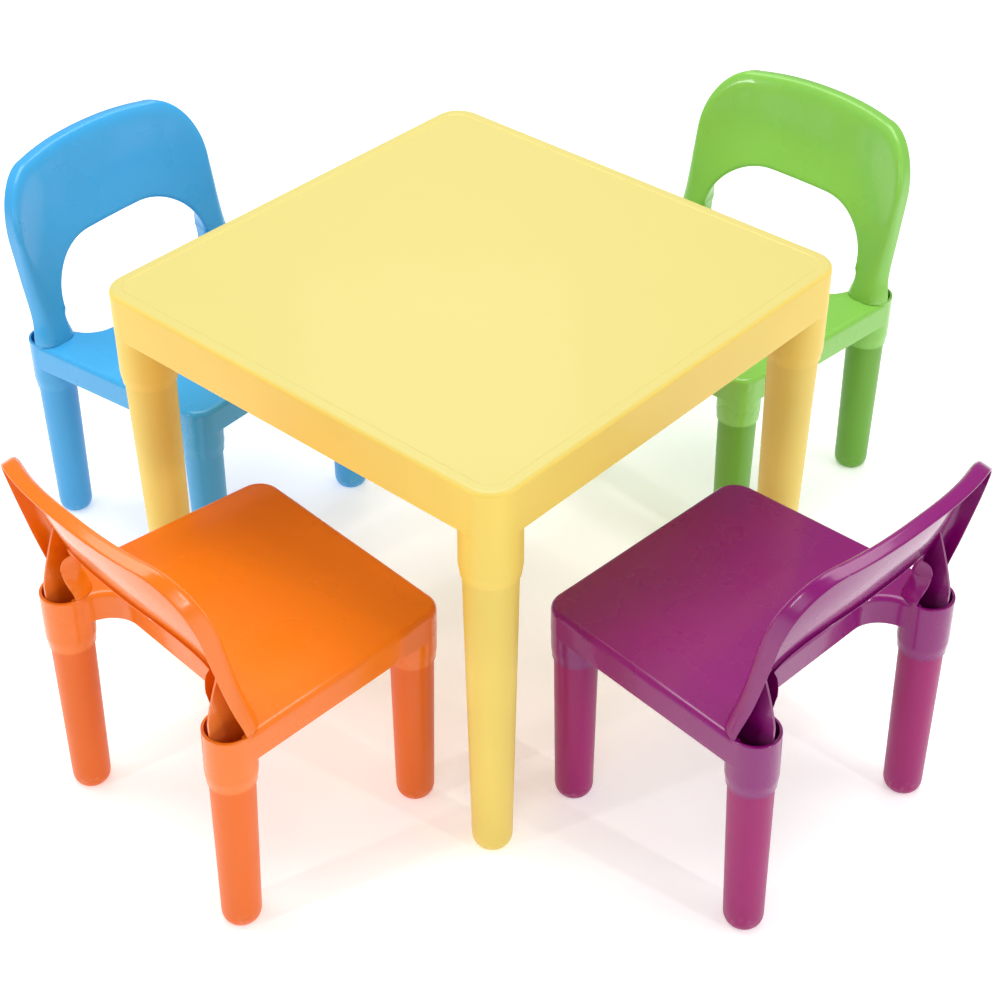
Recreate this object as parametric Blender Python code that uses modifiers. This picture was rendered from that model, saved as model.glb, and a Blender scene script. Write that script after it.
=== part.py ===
"""A child's table with four chairs, all of push-fitted mouldings.

The table is one moulded top with four sleeves, and four hollow tapered legs pushed up into them.
Each chair is a moulded seat with four sleeves, four hollow legs below and an arched backrest whose
two round feet plug into the open tops of the rear sleeves. The origin is on the floor under the middle
of the whole set, and the table's sides run along X and Y. A chair's own frame has its origin on the
floor, midway between its rear legs, with +Y forwards, towards the table.
"""

import math

import bmesh
import bpy
import numpy as np
from mathutils import Matrix

# ---- fits -------------------------------------------------------------------------------------------
FIT = 0.0003  # clearance all round a piece that is pushed into another
FLUSH = 0.0005  # how far a sleeve stays inside the rounded corner that it continues
OVERCUT = 0.005  # how far a cutter runs past the face that it opens
WELD = 0.000002  # points nearer than this are one point

# ---- table ------------------------------------------------------------------------------------------
TABLE_AT = (0.0146, -0.0392)  # the chairs stand at unequal distances, so the table is off the middle
TABLE_SIDE = 0.510
TABLE_HEIGHT = 0.443
APRON_DEPTH = 0.050
TABLE_WALL = 0.0030
TABLE_PLATE = 0.0045
TABLE_SLEEVE_WALL = 0.0035  # from a leg's grip to the outside of its sleeve
TABLE_ARRIS = 0.0050
PANEL_INSET = 0.0120
PANEL_STEP = 0.0008
TABLE_SLEEVE_DROP = 0.106
TABLE_SLEEVE_TAPER = 0.008
TABLE_LEG_TOP_RADIUS = 0.0255
TABLE_LEG_FOOT_RADIUS = 0.0197
TABLE_LEG_GRIP = 0.080
TABLE_CORNER = TABLE_LEG_TOP_RADIUS + TABLE_SLEEVE_WALL  # a corner's arc and its sleeve are the same circle
TABLE_SIDES = 20  # flats round a table leg and its sleeve

# ---- every leg --------------------------------------------------------------------------------------
LEG_WALL = 0.0025
FOOT_FLOOR = 0.0030
FOOT_CHAMFER = 0.0070
FOOT_CHAMFER_HEIGHT = 0.0125

# ---- chair seat -------------------------------------------------------------------------------------
SEAT_HEIGHT = 0.241
SKIRT_DEPTH = 0.031
SEAT_WALL = 0.0025
SEAT_PLATE = 0.0030
SEAT_ARRIS = 0.0060
FRONT_LEG_SPACING = 0.228
REAR_LEG_SPACING = 0.252
LEG_BASE = 0.220  # from the rear legs' axes to the front legs' axes
SLEEVE_DROP = 0.062
SLEEVE_TAPER = 0.012
SLEEVE_LIP = 0.0012
RIM_RISE = 0.0004  # a rear sleeve's rim stands this proud of the seat
REAR_EDGE_SETBACK = 0.037  # the seat's rear edge lies this far in front of the rear legs' axes
REAR_EDGE_BEND = 0.034  # how far the rear edge's bends reach in from the rear sleeves
CHAIR_LEG_TOP_RADIUS = 0.0211
FRONT_SLEEVE_RADIUS = CHAIR_LEG_TOP_RADIUS + 0.0025
PLUG_RADIUS = CHAIR_LEG_TOP_RADIUS + 0.0001  # the backrest's foot fills the sleeve above the rear leg
REAR_SLEEVE_RADIUS = PLUG_RADIUS + 0.0031
CHAIR_LEG_FOOT_RADIUS = 0.0190
CHAIR_LEG_GRIP = 0.030
SOCKET_FLOOR = 0.003  # the web between a rear leg and the backrest's foot above it
CHAIR_SIDES = 16  # flats round a chair leg and its sleeve
LEG_LEAN = {"front": (0.003, 0.008), "rear": (0.014, 0.027)}  # metres inwards and rearwards per metre down

# ---- backrest ---------------------------------------------------------------------------------------
CHAIR_HEIGHT = 0.4342
SHELL_WALL = 0.0025
BACK_LEAN = math.radians(10.3)
BACK_CURL = 0.008  # extra lean, per metre, that the shell gains with height
BACK_SAG = 0.0328  # how far the middle lies behind the sides
SAG_HEIGHT = 0.147  # the sag has grown to its full depth this far above the seat
SAG_HALF_SPAN = REAR_LEG_SPACING / 2 + 0.0240
SAG_POWER = 2.5
OUTER_LOW = REAR_LEG_SPACING / 2 + 0.0180  # half width of the outer edge just above the seat
OUTER_HIGH = REAR_LEG_SPACING / 2 + 0.0150  # and at the shoulders
SHOULDER_WIDTH = 0.0514
SHOULDER_HEIGHT = 0.0717
TOP_CROWN = 0.0054
ARCH_LOW = REAR_LEG_SPACING / 2 - 0.0111  # half width of the arch's opening just above the seat
ARCH_HIGH = REAR_LEG_SPACING / 2 - 0.0180
ARCH_RISE = 0.0903  # from the seat to the top of the opening
ARCH_BEND_WIDTH = 0.0700
ARCH_BEND_HEIGHT = 0.0581
FOOT_BLEND = 0.030  # the round foot turns into the shell's own outline over this height
OUTER_FLANGE = 0.0215
TOP_FLANGE = 0.0180
ARCH_FLANGE = 0.0055
FOOT_FLANGE = 0.0265  # the inner flange is this deep at the seat
FOOT_FLANGE_TAPER = 0.18  # depth lost per metre of height
FOOT_FLANGE_LOW = 0.030  # heights above the seat between which a quarter ellipse makes it shallow
FOOT_FLANGE_HIGH = 0.0495
INNER_TUCK = 0.35  # how far the deep inner flange leans into the channel, per metre of depth
OUTER_ROLL = (0.022, 0.008)  # the front face rolls into the outer flange: its width and its depth
INNER_ROLL = (0.006, 0.0035)
ROLL_BLEND = 0.085  # the half-round foot has turned into the two rolls at this height above the seat
RIB_WALL = 0.0024
RIB_FULL_HEIGHT = 0.020
RIB_TIP_HEIGHT = 0.080
RIB_STEPS = 5
PLUG_STEPS = 2
SIDE_STEPS = 6
BEND_STEPS = 5
TOP_STEPS = 2
ROLL_STEPS = 3

# ---- the four chairs: facing angle, offset to its own side, distance of its rear legs, twist ----------
CHAIRS = {
    "orange": (0.0, -0.007, 0.4350, -4.9),
    "purple": (90.0, -0.022, 0.4660, -3.5),
    "green": (180.0, -0.017, 0.5150, -2.0),
    "blue": (270.0, 0.034, 0.4955, 3.0),
}
COLOURS = {
    "table": ((0.93, 0.74, 0.20, 1.0), (0.90, 0.68, 0.17, 1.0), 0.38),
    "orange": ((0.90, 0.22, 0.012, 1.0), (0.90, 0.25, 0.025, 1.0), 0.25),
    "purple": ((0.23, 0.012, 0.18, 1.0), (0.33, 0.025, 0.20, 1.0), 0.25),
    "green": ((0.13, 0.48, 0.045, 1.0), (0.15, 0.40, 0.05, 1.0), 0.25),
    "blue": ((0.06, 0.33, 0.72, 1.0), (0.07, 0.30, 0.62, 1.0), 0.25),
}

REAR_X = REAR_LEG_SPACING / 2
FRONT_X = FRONT_LEG_SPACING / 2
SLEEVE_END = SEAT_HEIGHT - SLEEVE_DROP
CHAIR_LEG_TOP = SLEEVE_END + CHAIR_LEG_GRIP
SOCKET_BOTTOM = CHAIR_LEG_TOP + FIT + SOCKET_FLOOR
TABLE_LEG_AT = TABLE_SIDE / 2 - TABLE_CORNER
TABLE_SLEEVE_END = TABLE_HEIGHT - TABLE_SLEEVE_DROP


# ---- helpers ----------------------------------------------------------------------------------------
def clear_scene():
    """Removes every object, so that the model starts from nothing."""
    for obj in list(bpy.data.objects):
        bpy.data.objects.remove(obj)


def new_collection(name):
    collection = bpy.data.collections.new(name)
    bpy.context.scene.collection.children.link(collection)
    return collection


def plastic(name, colour, roughness):
    """A moulded plastic of one colour."""
    material = bpy.data.materials.new(name)
    material.use_nodes = True
    shader = material.node_tree.nodes["Principled BSDF"]
    shader.inputs["Base Color"].default_value = colour
    shader.inputs["Roughness"].default_value = roughness
    shader.inputs["Metallic"].default_value = 0.0
    material.diffuse_color = colour
    return material


def smooth_step(value):
    """0 below 0, 1 above 1 and a smooth S between them."""
    value = min(max(value, 0.0), 1.0)
    return value * value * (3.0 - 2.0 * value)


def helper_object(name, mesh):
    """A cutter or a joiner: linked so that it is evaluated, and hidden from renders."""
    obj = bpy.data.objects.new(name, mesh)
    obj.hide_render = True
    obj.display_type = "WIRE"
    helpers.objects.link(obj)
    return obj


def part_object(name, mesh, material, parent, place=(0.0, 0.0, 0.0)):
    """One sub-part, in the object's own collection, under the table's or its chair's empty."""
    obj = bpy.data.objects.new(name, mesh)
    obj.location = place
    obj.parent = parent
    parts.objects.link(obj)
    if not mesh.materials:
        mesh.materials.append(None)
    obj.material_slots[0].link = "OBJECT"
    obj.material_slots[0].material = material
    return obj


def finish_mesh(bm, name):
    """Turns faces outwards, writes the mesh and shades it smooth with sharp edges kept."""
    bmesh.ops.recalc_face_normals(bm, faces=bm.faces)
    mesh = bpy.data.meshes.new(name)
    bm.to_mesh(mesh)
    bm.free()
    mesh.shade_smooth()
    mesh.set_sharp_from_angle(angle=math.radians(35.0))
    return mesh


def plate_mesh(name, outline, bottom, top, arris=0.0):
    """An outline in plan raised from bottom to top, with its upper edge rounded by arris."""
    bm = bmesh.new()
    face = bm.faces.new([bm.verts.new((x, y, bottom)) for x, y in outline])
    raised = bmesh.ops.extrude_face_region(bm, geom=[face])["geom"]
    moved = [item for item in raised if isinstance(item, bmesh.types.BMVert)]
    bmesh.ops.translate(bm, verts=moved, vec=(0.0, 0.0, top - bottom))
    if arris > 0.0:
        rim = [edge for edge in bm.edges if all(abs(vert.co.z - top) < FIT for vert in edge.verts)]
        bmesh.ops.bevel(bm, geom=rim, offset=arris, segments=2, profile=0.5, affect="EDGES")
    return finish_mesh(bm, name)


def profile_mesh(name, profile):
    """A turned piece's half profile, from (radius, height) pairs running down its outer side."""
    mesh = bpy.data.meshes.new(name)
    points = [(radius, 0.0, height) for radius, height in profile]
    mesh.from_pydata(points, [(k, k + 1) for k in range(len(points) - 1)], [])
    return mesh


def turn(obj, sides):
    """Turns an object's profile round its own Z axis."""
    screw = obj.modifiers.new("turned", "SCREW")
    screw.axis = "Z"
    screw.angle = 2.0 * math.pi
    screw.steps = sides
    screw.render_steps = sides
    screw.use_merge_vertices = True
    screw.merge_threshold = 0.0001
    screw.use_smooth_shade = True
    return obj


def turned_mesh(name, profile, sides, lean=(0.0, 0.0), pivot=0.0):
    """A turned piece whose axis leans by metres in X and Y per metre of height, about the pivot height."""
    obj = turn(helper_object(name, profile_mesh(name, profile)), sides)
    graph = bpy.context.evaluated_depsgraph_get()
    mesh = bpy.data.meshes.new_from_object(obj.evaluated_get(graph))
    bpy.data.objects.remove(obj)
    shear = Matrix.Identity(4)
    shear[0][2], shear[1][2] = lean
    mesh.transform(Matrix.Translation((0.0, 0.0, pivot)) @ shear @ Matrix.Translation((0.0, 0.0, -pivot)))
    mesh.shade_smooth()
    mesh.set_sharp_from_angle(angle=math.radians(35.0))
    return mesh


def turned_helper(name, profile, sides, x, y, lean=(0.0, 0.0), pivot=0.0):
    obj = helper_object(name, turned_mesh(name, profile, sides, lean, pivot))
    obj.location = (x, y, 0.0)
    return obj


def carve(name, mesh, joined, cut):
    """The mesh with the joined pieces added and the cut ones taken away; the helpers are used up."""
    body = helper_object(name, mesh)
    for operation, others in (("UNION", joined), ("DIFFERENCE", cut)):
        for other in others:
            boolean = body.modifiers.new(other.name, "BOOLEAN")
            boolean.operation = operation
            boolean.solver = "EXACT"
            boolean.object = other
    graph = bpy.context.evaluated_depsgraph_get()
    result = bpy.data.meshes.new_from_object(body.evaluated_get(graph))
    for obj in [body, *joined, *cut]:
        bpy.data.objects.remove(obj)
    bm = bmesh.new()
    bm.from_mesh(result)
    bmesh.ops.remove_doubles(bm, verts=bm.verts, dist=WELD)
    return finish_mesh(bm, name)


def clear_radius(radius, sides):
    """A faceted bore's corner radius, so that its flats clear a shaft of this radius by FIT."""
    return (radius + FIT) / math.cos(math.pi / sides)


# ---- legs -------------------------------------------------------------------------------------------
def leg_profile(top_radius, foot_radius, mouth, top):
    """A hollow leg: tapered up to its sleeve's mouth, straight inside it, closed at the foot."""
    inner_foot = foot_radius - FOOT_CHAMFER - LEG_WALL / 2
    return [
        (0.0, FOOT_FLOOR),
        (inner_foot, FOOT_FLOOR),
        (foot_radius - LEG_WALL, FOOT_CHAMFER_HEIGHT + FOOT_FLOOR),
        (top_radius - LEG_WALL, mouth),
        (top_radius - LEG_WALL, top),
        (top_radius, top),
        (top_radius, mouth),
        (foot_radius, FOOT_CHAMFER_HEIGHT),
        (foot_radius - FOOT_CHAMFER, 0.0),
        (0.0, 0.0),
    ]


def sleeve_profile(radius, top, bottom, taper, end_radius, shoulder):
    """A solid sleeve: its shoulder stays under the rounded arris above, its end tapers to the leg."""
    return [
        (0.0, top),
        (radius - shoulder, top),
        (radius, top - shoulder),
        (radius, bottom + taper),
        (end_radius, bottom),
        (0.0, bottom),
    ]


def bore_profile(radius, bottom, top):
    return [(0.0, top), (radius, top), (radius, bottom), (0.0, bottom)]


# ---- table ------------------------------------------------------------------------------------------
def rounded_square(half, radius, steps=5):
    """A square outline whose corners are arcs."""
    points = []
    for quarter in range(4):
        corner = math.radians(90.0 * quarter + 45.0)
        centre_x = math.copysign(half - radius, math.cos(corner))
        centre_y = math.copysign(half - radius, math.sin(corner))
        for step in range(steps + 1):
            angle = math.radians(90.0 * (quarter + step / steps))
            points.append((centre_x + radius * math.cos(angle), centre_y + radius * math.sin(angle)))
    return points


def corner_signs():
    """The table's corners as its legs are named: which way each lies along X and along Y."""
    return {"front": (1, -1), "right": (1, 1), "back": (-1, 1), "left": (-1, -1)}


def table_top_mesh():
    """One moulding: plate, apron and four sleeves, open underneath, with a shallow sunk panel on top."""
    half = TABLE_SIDE / 2
    slab = plate_mesh(
        "table_slab",
        rounded_square(half, TABLE_CORNER),
        TABLE_HEIGHT - APRON_DEPTH,
        TABLE_HEIGHT,
        TABLE_ARRIS,
    )
    hollow = plate_mesh(
        "table_hollow",
        rounded_square(half - TABLE_WALL, TABLE_CORNER - TABLE_WALL),
        TABLE_HEIGHT - APRON_DEPTH - OVERCUT,
        TABLE_HEIGHT - TABLE_PLATE,
    )
    panel = plate_mesh(
        "table_panel",
        rounded_square(half - PANEL_INSET, TABLE_CORNER - PANEL_INSET),
        TABLE_HEIGHT - PANEL_STEP,
        TABLE_HEIGHT + OVERCUT,
    )
    shell = carve("table_shell", slab, [], [helper_object("hollow", hollow), helper_object("panel", panel)])
    sleeve = sleeve_profile(
        TABLE_CORNER - FLUSH,
        TABLE_HEIGHT - PANEL_STEP - FIT,
        TABLE_SLEEVE_END,
        TABLE_SLEEVE_TAPER,
        TABLE_LEG_TOP_RADIUS + LEG_WALL / 2,
        TABLE_ARRIS,
    )
    bore = bore_profile(
        clear_radius(TABLE_LEG_TOP_RADIUS, TABLE_SIDES),
        TABLE_SLEEVE_END - OVERCUT,
        TABLE_HEIGHT - TABLE_PLATE - FIT,
    )
    sleeves = []
    bores = []
    for name, (sign_x, sign_y) in corner_signs().items():
        x = sign_x * TABLE_LEG_AT
        y = sign_y * TABLE_LEG_AT
        sleeves.append(turned_helper("sleeve_" + name, sleeve, TABLE_SIDES, x, y))
        bores.append(turned_helper("bore_" + name, bore, TABLE_SIDES, x, y))
    return carve("table_top", shell, sleeves, bores)


def table_empty():
    """The table's frame: on the floor under its middle. The chairs are placed round it."""
    empty = bpy.data.objects.new("table_frame", None)
    empty.location = (*TABLE_AT, 0.0)
    parts.objects.link(empty)
    return empty


def make_table(top_plastic, leg_plastic, empty):
    part_object("table_top", table_top_mesh(), top_plastic, empty)
    profile = leg_profile(
        TABLE_LEG_TOP_RADIUS,
        TABLE_LEG_FOOT_RADIUS,
        TABLE_SLEEVE_END,
        TABLE_SLEEVE_END + TABLE_LEG_GRIP,
    )
    mesh = turned_mesh("table_leg", profile, TABLE_SIDES)
    for name, (sign_x, sign_y) in corner_signs().items():
        place = (sign_x * TABLE_LEG_AT, sign_y * TABLE_LEG_AT, 0.0)
        part_object("table_leg_" + name, mesh, leg_plastic, empty, place)


# ---- seat -------------------------------------------------------------------------------------------
def leg_lean(row, sign):
    """How far a leg's axis moves in X and Y per metre of height: every foot is drawn in and back."""
    inwards, rearwards = LEG_LEAN[row]
    return (sign * inwards, rearwards)


def side_normal(front_radius, rear_radius):
    """The angle, in plan, at which a straight side touches the front and the rear corner circles."""
    run_x = REAR_X - FRONT_X
    length = math.hypot(run_x, LEG_BASE)
    return math.atan2(-LEG_BASE, run_x) + math.acos((front_radius - rear_radius) / length)


def seat_outline(inset, steps=6):
    """The seat in plan: round front corners, sides that spread to the rear, a set-back rear edge."""
    front_radius = FRONT_SLEEVE_RADIUS + FLUSH - inset
    rear_radius = REAR_SLEEVE_RADIUS - FLUSH - inset
    normal = side_normal(front_radius, rear_radius)
    right = []
    for step in range(steps + 1):
        angle = math.pi / 2 + (normal - math.pi / 2) * step / steps
        right.append((FRONT_X + front_radius * math.cos(angle), LEG_BASE + front_radius * math.sin(angle)))
    for step in range(steps):
        angle = normal - (normal + math.pi) * step / steps
        right.append((REAR_X + rear_radius * math.cos(angle), rear_radius * math.sin(angle)))
    bend_end = REAR_X - rear_radius - inset - REAR_EDGE_BEND
    for step in range(steps + 1):
        angle = math.pi / 2 * step / steps
        x = bend_end + (REAR_EDGE_BEND + inset) * math.cos(angle)
        right.append((x, (REAR_EDGE_SETBACK + inset) * math.sin(angle)))
    return right + [(-x, y) for x, y in reversed(right)]


def seat_mesh():
    """One moulding: panel, skirt, two closed front sleeves and two rear sleeves open at both ends."""
    slab = plate_mesh("seat_slab", seat_outline(0.0), SEAT_HEIGHT - SKIRT_DEPTH, SEAT_HEIGHT, SEAT_ARRIS)
    hollow = plate_mesh(
        "seat_hollow",
        seat_outline(SEAT_WALL),
        SEAT_HEIGHT - SKIRT_DEPTH - OVERCUT,
        SEAT_HEIGHT - SEAT_PLATE,
    )
    shell = carve("seat_shell", slab, [], [helper_object("hollow", hollow)])
    end_radius = CHAIR_LEG_TOP_RADIUS + LEG_WALL / 2
    front_sleeve = sleeve_profile(
        FRONT_SLEEVE_RADIUS, SEAT_HEIGHT - FIT, SLEEVE_END, SLEEVE_TAPER, end_radius, SEAT_ARRIS
    )
    rear_sleeve = sleeve_profile(
        REAR_SLEEVE_RADIUS, SEAT_HEIGHT + RIM_RISE, SLEEVE_END, SLEEVE_TAPER, end_radius, SLEEVE_LIP
    )
    bore_radius = clear_radius(CHAIR_LEG_TOP_RADIUS, CHAIR_SIDES)
    front_bore = bore_profile(bore_radius, SLEEVE_END - OVERCUT, SEAT_HEIGHT - SEAT_PLATE - RIM_RISE)
    rear_bore = bore_profile(bore_radius, SLEEVE_END - OVERCUT, CHAIR_LEG_TOP + FIT)
    socket = bore_profile(clear_radius(PLUG_RADIUS, CHAIR_SIDES), SOCKET_BOTTOM, SEAT_HEIGHT + OVERCUT)
    joined = []
    cut = []
    for sign in (-1, 1):
        for row, x, y, sleeve, bore in (
            ("front", FRONT_X, LEG_BASE, front_sleeve, front_bore),
            ("rear", REAR_X, 0.0, rear_sleeve, rear_bore),
        ):
            lean = leg_lean(row, sign)
            joined.append(turned_helper("sleeve", sleeve, CHAIR_SIDES, sign * x, y, lean, SEAT_HEIGHT))
            cut.append(turned_helper("bore", bore, CHAIR_SIDES, sign * x, y, lean, SEAT_HEIGHT))
        cut.append(turned_helper("socket", socket, CHAIR_SIDES, sign * REAR_X, 0.0))
    return carve("seat", shell, joined, cut)


# ---- backrest ---------------------------------------------------------------------------------------
def face_y(x, height):
    """The backrest's front face: it leans back, curls with height and sags in the middle."""
    sag = BACK_SAG * (1.0 - abs(x / SAG_HALF_SPAN) ** SAG_POWER) * smooth_step(height / SAG_HEIGHT)
    return PLUG_RADIUS - math.tan(BACK_LEAN) * height - BACK_CURL * height**2 - sag


def blended(foot, low, high, height, top_height):
    """An edge's half width: the round foot's own, then a straight line from low to high."""
    line = low + (high - low) * height / top_height
    return foot + (line - foot) * smooth_step(height / FOOT_BLEND)


def arch_pairs():
    """Pairs of points on the outer edge and on the opening's edge, from a foot to the middle of the top."""
    rise = CHAIR_HEIGHT - SEAT_HEIGHT
    outer_end = rise - TOP_CROWN - SHOULDER_HEIGHT
    inner_end = ARCH_RISE - ARCH_BEND_HEIGHT
    plug_depth = SEAT_HEIGHT - SOCKET_BOTTOM - FIT
    pairs = []
    for step in range(PLUG_STEPS):
        height = -plug_depth * (1.0 - step / PLUG_STEPS)
        pairs.append(((REAR_X + PLUG_RADIUS, height), (REAR_X - PLUG_RADIUS, height)))
    for step in range(SIDE_STEPS):
        share = step / SIDE_STEPS
        outer = outer_end * share
        inner = inner_end * share
        outer_x = blended(REAR_X + PLUG_RADIUS, OUTER_LOW, OUTER_HIGH, outer, outer_end)
        inner_x = blended(REAR_X - PLUG_RADIUS, ARCH_LOW, ARCH_HIGH, inner, inner_end)
        pairs.append(((outer_x, outer), (inner_x, inner)))
    inner_x = blended(REAR_X - PLUG_RADIUS, ARCH_LOW, ARCH_HIGH, inner_end, inner_end)
    for step in range(BEND_STEPS):
        angle = math.pi / 2 * step / BEND_STEPS
        outer = (
            OUTER_HIGH - SHOULDER_WIDTH * (1.0 - math.cos(angle)),
            outer_end + SHOULDER_HEIGHT * math.sin(angle),
        )
        inner = (
            inner_x - ARCH_BEND_WIDTH * (1.0 - math.cos(angle)),
            inner_end + ARCH_BEND_HEIGHT * math.sin(angle),
        )
        pairs.append((outer, inner))
    for step in range(TOP_STEPS + 1):
        share = 1.0 - step / TOP_STEPS
        outer = ((OUTER_HIGH - SHOULDER_WIDTH) * share, rise - TOP_CROWN * share**2)
        inner = ((inner_x - ARCH_BEND_WIDTH) * share, ARCH_RISE)
        pairs.append((outer, inner))
    return pairs


def roll_points(width, depth, half, wall):
    """A quarter ellipse from a flange to the face, as shifts towards the edge and depths behind the face."""
    angles = np.linspace(0.0, math.pi / 2, ROLL_STEPS + 1)
    shift = half - width + (width - wall) * np.cos(angles)
    return shift, depth - (depth - wall) * np.sin(angles)


def section(outer, inner, wall):
    """One cross-section's line: an outer flange, a roll, the face, a roll and an inner flange."""
    outer = np.array(outer)
    inner = np.array(inner)
    middle = (outer + inner) / 2
    half = np.linalg.norm(outer - inner) / 2
    across = (outer - middle) / half
    height = max(middle[1], 0.0)
    growth = smooth_step(height / ROLL_BLEND)
    outer_flange = TOP_FLANGE + (OUTER_FLANGE - TOP_FLANGE) * min(abs(outer[0]) / OUTER_HIGH, 1.0) ** 4
    above = min(max((inner[1] - FOOT_FLANGE_LOW) / (FOOT_FLANGE_HIGH - FOOT_FLANGE_LOW), 0.0), 1.0)
    deep = FOOT_FLANGE - FOOT_FLANGE_TAPER * max(inner[1], 0.0)
    inner_flange = ARCH_FLANGE + max(deep - ARCH_FLANGE, 0.0) * math.sqrt(1.0 - above**2)
    sides = []
    for width, depth in (OUTER_ROLL, INNER_ROLL):
        width = half + (width - half) * growth
        depth = PLUG_RADIUS + (depth - PLUG_RADIUS) * growth
        sides.append(roll_points(width, depth, half, wall))
    (outer_shift, outer_depth), (inner_shift, inner_depth) = sides
    shift = np.concatenate([[half - wall], outer_shift, [0.0], -inner_shift[::-1], [wall - half]])
    depth = np.concatenate([[outer_flange], outer_depth, [wall], inner_depth[::-1], [inner_flange]])
    # Above the seat, the deep part of the inner flange leans in behind the face.
    behind = np.where(shift < 0.0, np.maximum(depth - inner_depth[0], 0.0), 0.0)
    shift = shift + INNER_TUCK * smooth_step(height / FOOT_BLEND) * behind
    if outer[1] <= 0.0:
        # Inside the socket the flanges follow the bore's wall instead of running straight back.
        beyond = np.maximum(depth - PLUG_RADIUS, 0.0)
        shift = np.sign(shift) * np.minimum(np.abs(shift), np.sqrt((half - wall) ** 2 - beyond**2))
    tilt = BACK_LEAN * smooth_step(height / FOOT_BLEND)
    points = []
    for along, back in zip(shift, depth):
        x = middle[0] + across[0] * along
        z = middle[1] + across[1] * along
        y = face_y(x, max(z, 0.0))
        points.append((x, y - back * math.cos(tilt), SEAT_HEIGHT + z - back * math.sin(tilt)))
    return points


def shell_mesh():
    """The arched channel, lofted through its cross-sections from one foot to the other."""
    pairs = arch_pairs()
    mirrored = [((-outer[0], outer[1]), (-inner[0], inner[1])) for outer, inner in reversed(pairs[:-1])]
    bm = bmesh.new()
    loops = []
    for index, (outer, inner) in enumerate(pairs + mirrored):
        outside = section(outer, inner, 0.0)
        inside = section(outer, inner, SHELL_WALL)
        if index >= len(pairs) and outside[0][0] > 0.0:
            raise ValueError("a mirrored section lies on the wrong side")
        loops.append([bm.verts.new(point) for point in outside + inside[::-1]])
    count = len(loops[0])
    for first, second in zip(loops[:-1], loops[1:]):
        for k in range(count):
            following = (k + 1) % count
            bm.faces.new((first[k], first[following], second[following], second[k]))
    for loop in (loops[0], loops[-1]):
        for k in range(count // 2 - 1):
            bm.faces.new((loop[k], loop[k + 1], loop[count - 2 - k], loop[count - 1 - k]))
    return finish_mesh(bm, "backrest_shell")


def rib_mesh(side):
    """The upright web in a leg: as deep as the socket at the seat, tapering to nothing at its tip."""
    bottom = SOCKET_BOTTOM + FIT
    rear = -PLUG_RADIUS + SHELL_WALL / 4
    outline = [(rear, bottom), (rear, SEAT_HEIGHT + RIB_FULL_HEIGHT)]
    for step in range(RIB_STEPS + 1):
        height = RIB_TIP_HEIGHT * (1.0 - step / RIB_STEPS)
        outline.append((face_y(REAR_X, height) - SHELL_WALL * 0.6, SEAT_HEIGHT + height))
    outline.append((PLUG_RADIUS - SHELL_WALL * 0.6, bottom))
    bm = bmesh.new()
    left = side * REAR_X - RIB_WALL / 2
    face = bm.faces.new([bm.verts.new((left, y, z)) for y, z in outline])
    raised = bmesh.ops.extrude_face_region(bm, geom=[face])["geom"]
    moved = [item for item in raised if isinstance(item, bmesh.types.BMVert)]
    bmesh.ops.translate(bm, verts=moved, vec=(RIB_WALL, 0.0, 0.0))
    return finish_mesh(bm, "rib")


def backrest_mesh():
    ribs = [helper_object("rib", rib_mesh(side)) for side in (-1, 1)]
    return carve("backrest", shell_mesh(), ribs, [])


# ---- chairs -----------------------------------------------------------------------------------------
def chair_empty(name, facing, offset, distance, twist, table):
    """The chair's frame: on the floor between its rear legs, turned to face the table."""
    empty = bpy.data.objects.new(name + "_chair", None)
    empty.parent = table
    angle = math.radians(facing)
    empty.location = (
        offset * math.cos(angle) + distance * math.sin(angle),
        offset * math.sin(angle) - distance * math.cos(angle),
        0.0,
    )
    empty.rotation_euler = (0.0, 0.0, math.radians(facing + twist))
    parts.objects.link(empty)
    return empty


def make_chair(name, meshes, moulding, leg_plastic, empty):
    part_object(name + "_seat", meshes["seat"], moulding, empty)
    part_object(name + "_backrest", meshes["backrest"], moulding, empty)
    for row, x, y in (("front", FRONT_X, LEG_BASE), ("rear", REAR_X, 0.0)):
        for side, sign in (("left", -1), ("right", 1)):
            place = (sign * x, y, 0.0)
            part_object(f"{name}_leg_{row}_{side}", meshes[row + side], leg_plastic, empty, place)


clear_scene()
parts = new_collection("kids_table_and_chairs")
helpers = new_collection("cutters")
helpers.hide_render = True

table_colour, table_leg_colour, table_roughness = COLOURS["table"]
table_frame = table_empty()
make_table(
    plastic("yellow_top_plastic", table_colour, table_roughness),
    plastic("yellow_leg_plastic", table_leg_colour, table_roughness),
    table_frame,
)
chair_meshes = {"seat": seat_mesh(), "backrest": backrest_mesh()}
chair_leg = leg_profile(CHAIR_LEG_TOP_RADIUS, CHAIR_LEG_FOOT_RADIUS, SLEEVE_END, CHAIR_LEG_TOP)
for leg_row in LEG_LEAN:
    for leg_side, leg_sign in (("left", -1), ("right", 1)):
        chair_meshes[leg_row + leg_side] = turned_mesh(
            "chair_leg", chair_leg, CHAIR_SIDES, leg_lean(leg_row, leg_sign), SEAT_HEIGHT
        )
for chair_name, (facing, offset, distance, twist) in CHAIRS.items():
    moulding_colour, leg_colour, chair_roughness = COLOURS[chair_name]
    make_chair(
        chair_name,
        chair_meshes,
        plastic(chair_name + "_moulding_plastic", moulding_colour, chair_roughness),
        plastic(chair_name + "_leg_plastic", leg_colour, chair_roughness),
        chair_empty(chair_name, facing, offset, distance, twist, table_frame),
    )
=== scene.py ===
# %% [markdown]
# # A child's table and four chairs
# The set is moulded plastic throughout: a square yellow table with round legs, and four chairs in orange,
# purple, green and blue. Every piece pushes into the next one, with no screws. The CAD model fixes where each
# piece is and which body it moves with, so this lesson builds a finer surface for each of the 29 pieces in
# exactly the same place, and then gives it a finish. Everything is in metres, with Z up.

# %% Load the frame
import math

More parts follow.
